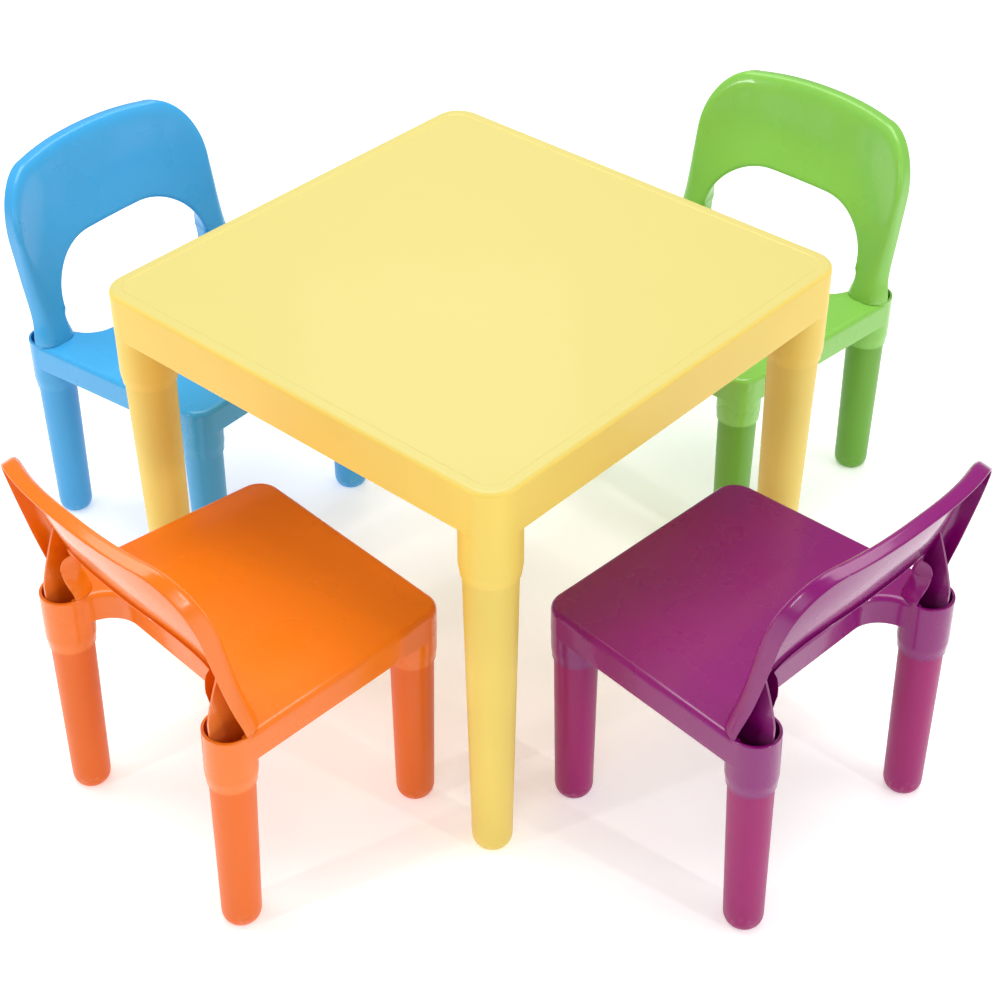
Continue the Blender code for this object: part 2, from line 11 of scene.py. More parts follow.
import bmesh
import bpy
import numpy as np
from mathutils import Matrix, Vector


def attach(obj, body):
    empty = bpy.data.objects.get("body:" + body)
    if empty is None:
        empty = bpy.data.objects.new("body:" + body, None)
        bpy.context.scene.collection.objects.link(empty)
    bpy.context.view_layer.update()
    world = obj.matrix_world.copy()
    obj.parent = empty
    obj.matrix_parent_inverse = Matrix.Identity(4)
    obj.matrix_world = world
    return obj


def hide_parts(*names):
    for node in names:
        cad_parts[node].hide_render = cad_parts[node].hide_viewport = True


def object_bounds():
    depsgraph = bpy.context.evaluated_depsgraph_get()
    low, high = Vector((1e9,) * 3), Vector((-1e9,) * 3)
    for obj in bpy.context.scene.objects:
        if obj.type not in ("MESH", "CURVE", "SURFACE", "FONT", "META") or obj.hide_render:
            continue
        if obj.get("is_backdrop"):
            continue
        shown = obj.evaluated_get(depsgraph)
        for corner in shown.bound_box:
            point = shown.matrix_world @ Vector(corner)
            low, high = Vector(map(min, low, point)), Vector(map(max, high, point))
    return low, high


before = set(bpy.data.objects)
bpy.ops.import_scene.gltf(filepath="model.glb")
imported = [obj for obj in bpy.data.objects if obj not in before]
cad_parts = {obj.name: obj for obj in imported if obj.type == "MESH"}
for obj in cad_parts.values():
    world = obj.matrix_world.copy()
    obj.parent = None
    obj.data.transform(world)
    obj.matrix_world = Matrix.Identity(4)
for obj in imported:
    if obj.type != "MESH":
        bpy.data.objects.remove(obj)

cad_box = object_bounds()
print("CAD box:", [round(value, 4) for corner in cad_box for value in corner])

# %% [markdown]
# ## The sizes
# A finer copy has to fit the same sockets, so it starts from the same numbers as the CAD model: the sleeve
# and leg radii, the heights and the fits. Reading them off the meshes would be possible, but a named size
# says what it means. A comparison with the CAD model's box at the end shows whether a large one was mistyped.

# %% Sizes
FIT = 0.0003  # clearance round a piece that is pushed into another
SEAM = 0.00015  # how far a sleeve stays inside the corner that it continues
WELD = 0.000002  # points nearer than this are one point
OVERCUT = 0.005  # how far a cutter runs past the face that it opens
SHARP_ANGLE = math.radians(32.0)  # an edge that turns more than this shows as a crease

TABLE_AT = (0.0146, -0.0392)
TABLE_HALF = 0.255
TABLE_HEIGHT = 0.443
APRON_DEPTH = 0.050
TABLE_WALL = 0.0030
TABLE_PLATE = 0.0045
TABLE_ARRIS = 0.0052
PANEL_STEP = 0.0008  # the panel is sunk by this inside its rim
TABLE_CORNER = 0.0290
TABLE_LEG_AT = TABLE_HALF - TABLE_CORNER
TABLE_SLEEVE_END = 0.337
TABLE_LEG_TOP = 0.417
TABLE_LEG_RADII = (0.0255, 0.0197)
CORNERS = {"front": (1, -1), "right": (1, 1), "back": (-1, 1), "left": (-1, -1)}

LEG_WALL = 0.0025
LEG_EASE = 0.0008  # the chamfer on a leg's upper end, which leads it into its sleeve
FOOT_CHAMFER, FOOT_CHAMFER_HEIGHT = 0.0070, 0.0125
FOOT_FLOOR = 0.003

SEAT_HEIGHT = 0.241
SKIRT_DEPTH = 0.031
SEAT_WALL = 0.0025
SEAT_PLATE = 0.0030
SEAT_ARRIS = 0.0060
REAR_EDGE_BEND = 0.034  # how far the rear edge's bends reach in from the rear sleeves
REAR_EDGE_SETBACK = 0.037  # the rear edge lies this far in front of the rear legs' axes
RIM_RISE = 0.0004  # a rear sleeve's rim stands this proud of the seat
FRONT_X, FRONT_Y, REAR_X = 0.114, 0.220, 0.126
FRONT_SLEEVE_RADIUS = 0.0241
REAR_SLEEVE_RADIUS = 0.0243
CHAIR_SLEEVE_END = 0.179
CHAIR_LEG_TOP = 0.209
CHAIR_LEG_RADII = (0.0211, 0.0190)
PLUG_RADIUS = 0.0212  # the backrest's foot, which fills the sleeve above the rear leg
SOCKET_BOTTOM = 0.2123
LEG_LEAN = {"front": (0.003, 0.008), "rear": (0.014, 0.027)}  # metres inwards and rearwards per metre down

# For each chair: the angle that it faces, its offset to its own side, the distance of its rear legs from the
# table's middle, and its twist.
CHAIR_PLACES = {
    "orange": (0.0, -0.007, 0.4350, -4.9),
    "purple": (90.0, -0.022, 0.4660, -3.5),
    "green": (180.0, -0.017, 0.5150, -2.0),
    "blue": (270.0, 0.034, 0.4955, 3.0),
}
print(len(CHAIR_PLACES), "chairs round a table of", 2 * TABLE_HALF, "m")

# %% [markdown]
# ## From rows of points to a mesh
# Every surface here is a grid: rows of points, each row a closed ring. Neighbouring rows are joined by quads,
# and each end is closed by a fan to one pole or by one flat face. Computing whole arrays keeps a shape's
# formula in sight, and the face list follows from the grid's size alone. Modelling by hand could give the
# same meshes, but no size in them could be changed afterwards.

# %% Grids
FLAT = "flat"  # an end that is closed by one face instead of by a pole


def smooth_step(value):
    """0 below 0, 1 above 1, and the cubic 3v^2 - 2v^3 between them."""
    value = np.clip(value, 0.0, 1.0)
    return value * value * (3.0 - 2.0 * value)


def skin(rings, first_end, last_end):
    """Closed rings of points joined by quads: point (i, j) is number i * columns + j."""
    rows, columns, _ = rings.shape
    i, j = np.meshgrid(np.arange(rows - 1), np.arange(columns), indexing="ij")
    corner, following = i * columns + j, i * columns + (j + 1) % columns
    quads = np.stack([corner, following, following + columns, corner + columns], axis=-1)
    faces = quads.reshape(-1, 4).tolist()
    points = rings.reshape(-1, 3)
    for end, row in ((first_end, 0), (last_end, rows - 1)):
        ring = row * columns + np.arange(columns)
        if end is FLAT:
            faces.append(ring.tolist())
            continue
        pole = np.full(columns, len(points))
        points = np.vstack([points, end])
        faces.extend(np.stack([ring, np.roll(ring, -1), pole], axis=-1).tolist())
    return points, faces


def closed_mesh(name, points, faces):
    """A mesh whose faces all point outwards, smooth except along its creases."""
    mesh = bpy.data.meshes.new(name)
    mesh.from_pydata(np.asarray(points).tolist(), [], faces)
    bm = bmesh.new()
    bm.from_mesh(mesh)
    bmesh.ops.recalc_face_normals(bm, faces=bm.faces)
    bm.to_mesh(mesh)
    bm.free()
    mesh.shade_smooth()
    mesh.set_sharp_from_angle(angle=SHARP_ANGLE)
    return mesh


def arc(start, end, steps):
    """Angles from start to end in degrees, given back in radians."""
    return np.radians(np.linspace(start, end, steps + 1))


# %% [markdown]
# ## Turned shapes
# Legs, sleeves, bores and sockets are all round. Each is half a cross-section, a list of radius and height
# pairs from pole to pole, turned round the upright axis. A chair's legs lean a little: the whole turned shape
# is sheared about the height of the seat, which keeps its foot flat on the floor where a rotation would have
# lifted one side of it.

# %% Turning
ROUND_SIDES = 72
MOUTH_EASE = 0.0006  # the small chamfer round a sleeve's lower end


def turned(profile, at=(0.0, 0.0), lean=(0.0, 0.0)):
    """Point (k, a) is (r_k cos a, r_k sin a, z_k), moved to its place and sheared about the seat's height."""
    profile = np.asarray(profile, float)
    angles = np.linspace(0.0, 2.0 * math.pi, ROUND_SIDES, endpoint=False)
    radius, height = profile[1:-1, :1], profile[1:-1, 1:]
    heights = np.broadcast_to(height, (len(height), ROUND_SIDES))
    rings = np.stack([radius * np.cos(angles), radius * np.sin(angles), heights], axis=-1)
    points, faces = skin(rings, (0.0, 0.0, profile[0, 1]), (0.0, 0.0, profile[-1, 1]))
    below = points[:, 2] - SEAT_HEIGHT
    points = points + np.stack([at[0] + lean[0] * below, at[1] + lean[1] * below, 0.0 * below], axis=-1)
    return points, faces


def rounded(corner_in, corner_out, steps=5):
    """A quarter ellipse between two points of a profile: it leaves the first sideways and arrives upright."""
    angles = arc(0.0, 90.0, steps)
    (r0, z0), (r1, z1) = corner_in, corner_out
    return list(zip(r0 + (r1 - r0) * np.sin(angles), z1 + (z0 - z1) * np.cos(angles)))


def leg_profile(radii, mouth, top):
    """A hollow leg: a rounded foot, a long taper up to its sleeve's mouth and a straight grip inside it."""
    top_radius, foot_radius = radii
    outside = rounded((foot_radius - FOOT_CHAMFER, 0.0), (foot_radius, FOOT_CHAMFER_HEIGHT), 8)
    heights = np.linspace(FOOT_CHAMFER_HEIGHT, mouth, 9)[1:]
    run = mouth - FOOT_CHAMFER_HEIGHT
    taper = foot_radius + (top_radius - foot_radius) * (heights - FOOT_CHAMFER_HEIGHT) / run
    return [
        (0.0, 0.0),
        *outside,
        *zip(taper, heights),
        (top_radius, top - LEG_EASE),
        (top_radius - LEG_EASE, top),
        (top_radius - LEG_WALL, top),
        (top_radius - LEG_WALL, mouth),
        (foot_radius - LEG_WALL, FOOT_CHAMFER_HEIGHT + FOOT_FLOOR),
        (foot_radius - FOOT_CHAMFER - LEG_WALL / 2, FOOT_FLOOR),
        (0.0, FOOT_FLOOR),
    ]


def sleeve_profile(radius, top, bottom, taper, end_radius, lip):
    """A solid sleeve: a rounded lip on top, a straight side, and a soft S that narrows onto the leg."""
    share = np.linspace(0.0, 1.0, 9)
    narrowing = radius - (radius - end_radius - MOUTH_EASE) * smooth_step(share)
    heights = bottom + taper * (1.0 - share) + MOUTH_EASE
    return [
        (0.0, top),
        *rounded((radius - lip, top), (radius, top - lip), 5),
        (radius, (top + bottom) / 2),
        *zip(narrowing, heights),
        (end_radius, bottom),
        (0.0, bottom),
    ]


def bore_profile(radius, bottom, top):
    """A plain cylinder, to be cut away."""
    return [(0.0, top), (radius, top), (radius, bottom), (0.0, bottom)]


print("a table leg has", len(leg_profile(TABLE_LEG_RADII, TABLE_SLEEVE_END, TABLE_LEG_TOP)), "profile points")

# %% [markdown]
# ## Joining and cutting
# On the real mouldings a sleeve and the panel above it are one piece of plastic. The panel is carried round
# its outline, the sleeves are turned, and the exact Boolean solver joins them and then cuts the bores. A
# weighted normal modifier afterwards keeps the big flat faces flat in the light, because the Boolean leaves
# long thin faces beside them. An edge that doesn't have exactly two faces is counted and printed, so that a
# poor join shows.


# %% Booleans
def helper(points_and_faces):
    """A mesh object that a Boolean can use, removed again afterwards."""
    mesh = closed_mesh("helper", *points_and_faces)
    obj = bpy.data.objects.new("helper", mesh)
    bpy.context.scene.collection.objects.link(obj)
    return obj


def carve(name, body, joined, cut):
    """The body with the joined shapes added and the cut ones taken away, welded and facing outwards."""
    base = helper(body)
    helpers = [(helper(shape), "UNION") for shape in joined]
    helpers += [(helper(shape), "DIFFERENCE") for shape in cut]
    for other, operation in helpers:
        boolean = base.modifiers.new("carve", "BOOLEAN")
        boolean.operation = operation
        boolean.solver = "EXACT"
        boolean.object = other
    graph = bpy.context.evaluated_depsgraph_get()
    mesh = bpy.data.meshes.new_from_object(base.evaluated_get(graph))
    for obj in [base] + [other for other, _ in helpers]:
        bpy.data.objects.remove(obj)
    bm = bmesh.new()
    bm.from_mesh(mesh)
    bmesh.ops.remove_doubles(bm, verts=bm.verts, dist=WELD)
    bmesh.ops.recalc_face_normals(bm, faces=bm.faces)
    odd_edges = sum(len(edge.link_faces) != 2 for edge in bm.edges)
    bm.to_mesh(mesh)
    bm.free()
    mesh.shade_smooth()
    mesh.set_sharp_from_angle(angle=SHARP_ANGLE)
    mesh.name = name
    print(name, len(mesh.polygons), "faces,", odd_edges, "edges without exactly two faces")
    return mesh


def add_piece(name, mesh, material, node, body, weighted=False):
    """A finished piece in place of its CAD node: its object stays at the origin."""
    obj = bpy.data.objects.new(name, mesh)
    bpy.context.scene.collection.objects.link(obj)
    mesh.materials.clear()
    mesh.materials.append(material)
    if weighted:
        normals = obj.modifiers.new("flat faces stay flat", "WEIGHTED_NORMAL")
        normals.keep_sharp = True
        normals.weight = 60
    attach(obj, body)
    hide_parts(node)
    return obj


# %% [markdown]
# ## The finishes
# The set is coloured right through, so nothing is painted and nothing can chip. What the eye reads as plastic
# is smaller than that: the colour drifts slightly where the melt cooled at different rates, a broad flat face
# is never quite flat and bends its reflections, the mould's own fine texture softens them, and edges and feet
# look paler where they have been rubbed. Each of these is a noise pattern in object coordinates, so it stays
# on its piece when the piece moves. An edge is found by its curvature and a foot by its height.


# %% Moulded plastic
SCUFF_HEIGHT = 0.022  # the feet are rubbed up to this height


def moulded_plastic(name, colour, rough, coat, wave, top_painted_shade=None):
    """Colour, roughness and bump from noise; edges paler by curvature, feet paler and rougher by height.

    Where the surface faces straight up it takes a darker, duller colour: painted shade that holds down the
    overhead lamp's light on the table top.
    """
    material = bpy.data.materials.new(name)
    material.use_nodes = True
    nodes, links = material.node_tree.nodes, material.node_tree.links
    shader = nodes["Principled BSDF"]
    where = nodes.new("ShaderNodeTexCoord").outputs["Object"]

    def noise(scale, detail, source=where):
        node = nodes.new("ShaderNodeTexNoise")
        node.inputs["Scale"].default_value = scale
        node.inputs["Detail"].default_value = detail
        links.new(source, node.inputs["Vector"])
        return node.outputs["Fac"]

    def ranged(value, low, high, to_low, to_high):
        node = nodes.new("ShaderNodeMapRange")
        sockets = ("From Min", "From Max", "To Min", "To Max")
        for socket, number in zip(sockets, (low, high, to_low, to_high)):
            node.inputs[socket].default_value = number
        links.new(value, node.inputs["Value"])
        return node.outputs["Result"]

    def blended(factor, first, second):
        node = nodes.new("ShaderNodeMix")
        node.data_type = "RGBA"
        links.new(factor, node.inputs[0])
        for socket, source in ((node.inputs[6], first), (node.inputs[7], second)):
            if isinstance(source, tuple):
                socket.default_value = (*source, 1.0)
            else:
                links.new(source, socket)
        return node.outputs[2]

    def multiplied(first, second):
        node = nodes.new("ShaderNodeMath")
        node.operation = "MULTIPLY"
        links.new(first, node.inputs[0])
        links.new(second, node.inputs[1])
        return node.outputs[0]

    def bumped(value, distance, strength, normal=None):
        node = nodes.new("ShaderNodeBump")
        node.inputs["Distance"].default_value = distance
        node.inputs["Strength"].default_value = strength
        links.new(value, node.inputs["Height"])
        if normal:
            links.new(normal, node.inputs["Normal"])
        return node.outputs["Normal"]

    deep = tuple(0.95 * part for part in colour)
    fresh = tuple(min(1.0, 1.04 * part) for part in colour)
    pale = tuple(part + (1.0 - part) * 0.20 for part in colour)
    drift = ranged(noise(5.0, 2.0), 0.3, 0.7, 0.0, 1.0)
    base = blended(drift, deep, fresh)
    surface = nodes.new("ShaderNodeNewGeometry")
    # Painted shade: faces that point straight up are darkened against the strong light from above.
    if top_painted_shade:
        facing = nodes.new("ShaderNodeSeparateXYZ")
        links.new(surface.outputs["Normal"], facing.inputs[0])
        base = blended(ranged(facing.outputs["Z"], 0.55, 0.98, 0.0, 1.0), base, top_painted_shade)
    edge = ranged(surface.outputs["Pointiness"], 0.535, 0.62, 0.0, 0.45)
    base = blended(multiplied(edge, noise(60.0, 4.0)), base, pale)
    height = nodes.new("ShaderNodeSeparateXYZ")
    links.new(where, height.inputs[0])
    low = ranged(height.outputs["Z"], 0.0, SCUFF_HEIGHT, 1.0, 0.0)
    scuff = multiplied(low, ranged(noise(170.0, 5.0), 0.48, 0.66, 0.0, 0.6))
    base = blended(scuff, base, pale)
    links.new(base, shader.inputs["Base Color"])
    worn = ranged(noise(14.0, 3.0), 0.3, 0.7, rough - 0.03, rough + 0.05)
    rougher = nodes.new("ShaderNodeMath")
    rougher.operation = "MULTIPLY_ADD"
    links.new(scuff, rougher.inputs[0])
    rougher.inputs[1].default_value = 0.25
    links.new(worn, rougher.inputs[2])
    links.new(rougher.outputs[0], shader.inputs["Roughness"])
    shader.inputs["Coat Weight"].default_value = coat
    shader.inputs["Coat Roughness"].default_value = 0.09
    shader.inputs["IOR"].default_value = 1.49
    shader.inputs["Specular IOR Level"].default_value = 0.35
    normal = bumped(noise(7.0, 0.5), 0.006, wave)
    normal = bumped(noise(750.0, 2.0), 0.00005, 0.4, normal)
    links.new(normal, shader.inputs["Normal"])
    return material


# For each slot: colour, roughness, coat, the wave of its broad faces and, on the table top, the painted shade
# on its upward faces.
PLASTICS = {
    "yellow_top": ((0.84, 0.625, 0.120), 0.40, 0.05, 0.06, (0.615, 0.530, 0.170)),
    "yellow_leg": ((0.79, 0.60, 0.125), 0.44, 0.0, 0.05),
    "orange_moulding": ((0.83, 0.172, 0.003), 0.27, 0.40, 0.10),
    "orange_leg": ((0.77, 0.135, 0.002), 0.40, 0.10, 0.06),
    "purple_moulding": ((0.225, 0.001, 0.140), 0.26, 0.40, 0.10),
    "purple_leg": ((0.305, 0.001, 0.120), 0.40, 0.10, 0.06),
    "green_moulding": ((0.215, 0.520, 0.072), 0.28, 0.40, 0.09),
    # The green legs' colour is darker than the green moulding's, as painted shade for legs that stand in
    # shadow.
    "green_leg": ((0.130, 0.350, 0.025), 0.40, 0.10, 0.06),
    "blue_moulding": ((0.042, 0.360, 0.720), 0.28, 0.40, 0.09),
    "blue_leg": ((0.055, 0.365, 0.720), 0.40, 0.10, 0.06),
}
finish = {slot: moulded_plastic(slot + "_plastic", *recipe) for slot, recipe in PLASTICS.items()}
print(len(finish), "plastics")

# %% [markdown]
# ## The table top
# One moulding: a thin plate with a deep apron, a panel that is sunk by less than a millimetre inside a plain
# rim, and a sleeve under each corner. The corner of the apron and the sleeve share one axis, so they run into
# each other. The plate and apron are one profile, given as inset from the edge and height, carried round a
# rounded square. A bevelled box would be quicker, but would have neither the sunk panel nor the wall.


# %% Outlines
def rounded_square(inset):
    """For each inset, four arcs of radius (corner - inset) and the straight runs between them, as (x, y)."""
    inset = np.asarray(inset, float)[:, None]
    radius = np.maximum(TABLE_CORNER - inset, 0.004)
    reach = TABLE_HALF - inset - radius
    rows = []
    for quarter in range(4):
        angles = arc(90.0 * quarter, 90.0 * (quarter + 1), 14)
        sign_x, sign_y = np.sign(np.cos(angles.mean())), np.sign(np.sin(angles.mean()))
        bend_x, bend_y = sign_x * reach + radius * np.cos(angles), sign_y * reach + radius * np.sin(angles)
        bend = np.stack([bend_x, bend_y], axis=-1)
        share = np.linspace(0.0, 1.0, 8)[1:-1]
        turned_on = np.stack([-bend[:, 0, 1], bend[:, 0, 0]], axis=-1)[:, None]
        straight = bend[:, -1:] + (turned_on - bend[:, -1:]) * share[:, None]
        rows.extend([bend, straight])
    return np.concatenate(rows, axis=1)


def carried(outline, profile):
    """Ring k is the outline at inset_k, lifted to height_k."""
    profile = np.asarray(profile, float)
    plan = outline(profile[:, 0])
    height = np.broadcast_to(profile[:, 1][:, None, None], plan.shape[:2] + (1,))
    return np.concatenate([plan, height], axis=-1)


# %% Table top
top, lower = TABLE_HEIGHT, TABLE_HEIGHT - APRON_DEPTH
panel = top - PANEL_STEP
share = np.linspace(0.0, 1.0, 5)
table_profile = [
    (0.120, panel),
    (0.040, panel),
    (0.0145, panel),
    *zip(0.0131 - 0.0014 * share, panel + PANEL_STEP * smooth_step(share)),
    (0.0090, top),
    *[(TABLE_ARRIS - inset, z) for inset, z in rounded((0.0, top), (TABLE_ARRIS, top - TABLE_ARRIS), 8)],
    (0.0, top - 0.012),
    (0.0, lower + 0.010),
    (0.0, lower + 0.0010),
    (0.0003, lower + 0.0003),
    (0.0010, lower),
    (TABLE_WALL - 0.0008, lower),
    (TABLE_WALL, lower + 0.0008),
    (TABLE_WALL, top - TABLE_PLATE - 0.0020),
    (TABLE_WALL + 0.0020, top - TABLE_PLATE),
    (0.040, top - TABLE_PLATE),
]
table_rings = carried(rounded_square, table_profile)
table_shell = skin(table_rings, (0.0, 0.0, panel), (0.0, 0.0, top - TABLE_PLATE))
table_end_radius = TABLE_LEG_RADII[0] + LEG_WALL / 2
table_sleeve = sleeve_profile(
    TABLE_CORNER - SEAM, top - 0.0012, TABLE_SLEEVE_END, 0.012, table_end_radius, 0.006
)
table_bore = bore_profile(
    TABLE_LEG_RADII[0] + FIT, TABLE_SLEEVE_END - OVERCUT, top - TABLE_PLATE - FIT
)
table_corners = [(sign_x * TABLE_LEG_AT, sign_y * TABLE_LEG_AT) for sign_x, sign_y in CORNERS.values()]
table_mesh = carve(
    "table_top_moulded",
    table_shell,
    [turned(table_sleeve, at) for at in table_corners],
    [turned(table_bore, at) for at in table_corners],
)
to_table = Matrix.Translation((*TABLE_AT, 0.0))
table_mesh.transform(to_table)
add_piece(
    "table_top_moulded", table_mesh, finish["yellow_top"], "table_top", "table", weighted=True
)

# %% [markdown]
# ## The table's legs
# Each is a long hollow cone, closed and rounded at the foot, with a straight grip at the top that disappears
# into its sleeve. It is as plain as it looks, so the turned profile says everything about it. A cone
# primitive would have neither the wall nor the rounded foot.

# %% Table legs
leg = closed_mesh("table_leg", *turned(leg_profile(TABLE_LEG_RADII, TABLE_SLEEVE_END, TABLE_LEG_TOP)))
for corner, (sign_x, sign_y) in CORNERS.items():
    node = "table_leg_" + corner
    mesh = leg.copy()
    mesh.transform(to_table @ Matrix.Translation((sign_x * TABLE_LEG_AT, sign_y * TABLE_LEG_AT, 0.0)))
    add_piece(node + "_moulded", mesh, finish["yellow_leg"], node, "table")
print("4 table legs,", len(leg.polygons), "faces each")

# %% [markdown]
# ## A chair's seat
# Seen from above, the seat is four circles with lines drawn round them: small round corners over the front
# legs, sides that spread a little, and a rear edge that is set back between the two rear sleeves. Because the
# outline is worked out for any inset, the same profile-and-outline method as on the table gives a wall of
# even thickness and an even roll along the edge. A flat face closes the top, because a fan of triangles from
# one pole would fold over itself at the two hollow bends of the rear edge.


# %% Seat outline
def seat_outline(inset):
    """For each inset: front arc, rear arc and a quarter ellipse to the rear edge, then their mirror image."""
    inset = np.asarray(inset, float)[:, None]
    front, rear = FRONT_SLEEVE_RADIUS - inset, REAR_SLEEVE_RADIUS - SEAM - inset
    run = REAR_X - FRONT_X
    spread = math.acos((FRONT_SLEEVE_RADIUS - REAR_SLEEVE_RADIUS) / math.hypot(run, FRONT_Y))
    normal = math.degrees(math.atan2(-FRONT_Y, run) + spread)
    corner = arc(90.0, normal, 16)
    back = arc(normal, -180.0, 30)[:-1]
    bend = arc(0.0, 90.0, 16)
    bend_width, setback = REAR_EDGE_BEND + inset, REAR_EDGE_SETBACK + inset
    bend_end = REAR_X - REAR_SLEEVE_RADIUS + SEAM + inset - bend_width
    front_x, front_y = FRONT_X + front * np.cos(corner), FRONT_Y + front * np.sin(corner)
    rear_x, rear_y = REAR_X + rear * np.cos(back), rear * np.sin(back)
    bend_x, bend_y = bend_end + bend_width * np.cos(bend), setback * np.sin(bend)
    x = np.concatenate([front_x, rear_x, bend_x], axis=1)
    y = np.concatenate([front_y, rear_y, bend_y], axis=1)
    right = np.stack([x, y], axis=-1)
    return np.concatenate([right, right[:, ::-1] * (-1.0, 1.0)], axis=1)


# %% Seat mesh
top, lower = SEAT_HEIGHT, SEAT_HEIGHT - SKIRT_DEPTH
seat_profile = [
    (0.0100, top),
    (0.0070, top),
    *[(SEAT_ARRIS - inset, z) for inset, z in rounded((0.0, top), (SEAT_ARRIS, top - SEAT_ARRIS), 8)],
    (0.0, top - 0.012),
    (0.0, lower + 0.006),
    (0.0, lower + 0.0009),
    (0.0003, lower + 0.0003),
    (0.0009, lower),
    (0.0017, lower),
    (SEAT_WALL, lower + 0.0008),
    (SEAT_WALL, top - 0.0050),
    (0.0045, top - SEAT_PLATE),
    (0.0070, top - SEAT_PLATE),
]
end_radius = CHAIR_LEG_RADII[0] + LEG_WALL / 2
front_top, rear_top = top - 0.0006, top + RIM_RISE
sleeves = {
    "front": sleeve_profile(
        FRONT_SLEEVE_RADIUS - SEAM, front_top, CHAIR_SLEEVE_END, 0.014, end_radius, 0.007
    ),
    "rear": sleeve_profile(REAR_SLEEVE_RADIUS, rear_top, CHAIR_SLEEVE_END, 0.014, end_radius, 0.0012),
}
bore_radius, bore_start = CHAIR_LEG_RADII[0] + FIT, CHAIR_SLEEVE_END - OVERCUT
bores = {
    "front": bore_profile(bore_radius, bore_start, top - 0.0034),
    "rear": bore_profile(bore_radius, bore_start, CHAIR_LEG_TOP + FIT),
}
socket = bore_profile(PLUG_RADIUS + FIT, SOCKET_BOTTOM, top + OVERCUT)
leg_places = [
    (row, side, sign, (sign * x, y), (sign * LEG_LEAN[row][0], LEG_LEAN[row][1]))
    for row, x, y in (("front", FRONT_X, FRONT_Y), ("rear", REAR_X, 0.0))
    for side, sign in (("left", -1), ("right", 1))
]
seat_mesh = carve(
    "seat_moulded",
    skin(carried(seat_outline, seat_profile), FLAT, FLAT),
    [turned(sleeves[row], at, lean) for row, _, _, at, lean in leg_places],
    [turned(bores[row], at, lean) for row, _, _, at, lean in leg_places]
    + [turned(socket, (sign * REAR_X, 0.0)) for sign in (-1, 1)],
)

# %% [markdown]
# ## The backrest
# A thin arched channel: a broad face that rolls back into a flange along its outer edge and a shallower one
# along the opening. Both ends close into round feet that plug into the rear sleeves. It is a loft. Pairs of
# points, one on the outer edge and one on the opening's edge, walk from a foot up the side, round the
# shoulder and along the top. At each pair the same cross-section is drawn between them, and the front face is
# laid on one formula that leans back, curls and sags in the middle. The other half is its mirror image. A
# flat plate with a bend modifier was the other choice, but it couldn't close into round feet.

# %% Backrest sizes
CHAIR_HEIGHT = 0.4342
SHELL_WALL = 0.0025
BACK_LEAN = math.radians(10.3)
BACK_CURL = 0.008  # extra lean, per metre, that the shell gains with height
BACK_SAG, SAG_HALF_SPAN, SAG_POWER, SAG_HEIGHT = 0.0328, 0.150, 2.5, 0.147
RISE = CHAIR_HEIGHT - SEAT_HEIGHT
ARCH_RISE = 0.0903  # from the seat to the top of the opening
OUTER_LOW, OUTER_HIGH = 0.1440, 0.1410  # half width of the outer edge above the seat and at the shoulders
ARCH_LOW, ARCH_HIGH = 0.1149, 0.1080  # half width of the opening, low and high
SHOULDER = (0.0514, 0.0717)
ARCH_BEND = (0.0700, 0.0581)
TOP_CROWN = 0.0054
OUTER_END = RISE - TOP_CROWN - SHOULDER[1]
INNER_END = ARCH_RISE - ARCH_BEND[1]
FOOT_BLEND = 0.030  # the round foot turns into the shell's own outline over this height
OUTER_ROLL, INNER_ROLL = (0.022, 0.008), (0.006, 0.0035)  # a roll's width and depth
ROLL_BLEND = 0.085  # the half-round foot has turned into the two rolls at this height
TOP_FLANGE, FLANGE_GROWTH = 0.0180, 0.0035  # the outer flange in the middle, and what it gains at the sides
ARCH_FLANGE, FOOT_FLANGE, FOOT_FLANGE_TAPER = 0.0058, 0.0265, 0.18
FOOT_FLANGE_LOW, FOOT_FLANGE_STEP = 0.030, 0.0195  # where the inner flange gets shallow, and over what height
INNER_TUCK = 0.35  # how far the deep inner flange leans in behind the face, per metre of depth
PLUG_CLEAR = 0.019  # above this height nothing has to fit the socket's bore
COLLAR = 0.0026  # above the seat the foot is this much fatter than its plug, and sits on the sleeve's rim
COLLAR_LIFT = 0.0007  # the rim's own rise and the fit above it
COLLAR_BLEND = 0.050
print("the backrest rises", round(RISE, 4), "m above the seat")


# %% Backrest face and edges
def collar(height):
    """Nothing in the socket, the full collar from the rim up, then fading into the shell."""
    return np.where(height > COLLAR_LIFT, COLLAR * (1.0 - smooth_step(height / COLLAR_BLEND)), 0.0)


def face_y(x, height):
    """Plug radius - tan(lean) h - curl h^2 - sag (1 - |x / half span|^power) S(h), with S the smooth step."""
    sag = BACK_SAG * (1.0 - np.abs(x / SAG_HALF_SPAN) ** SAG_POWER) * smooth_step(height / SAG_HEIGHT)
    return PLUG_RADIUS - math.tan(BACK_LEAN) * height - BACK_CURL * height**2 - sag


def edge_x(foot, low, high, height, end):
    """The round foot's own half width, turning into a straight line from low to high, plus the collar."""
    line = low + (high - low) * height / end
    grown = foot + (line - foot) * smooth_step(height / FOOT_BLEND)
    return grown + np.sign(foot - REAR_X) * collar(height)


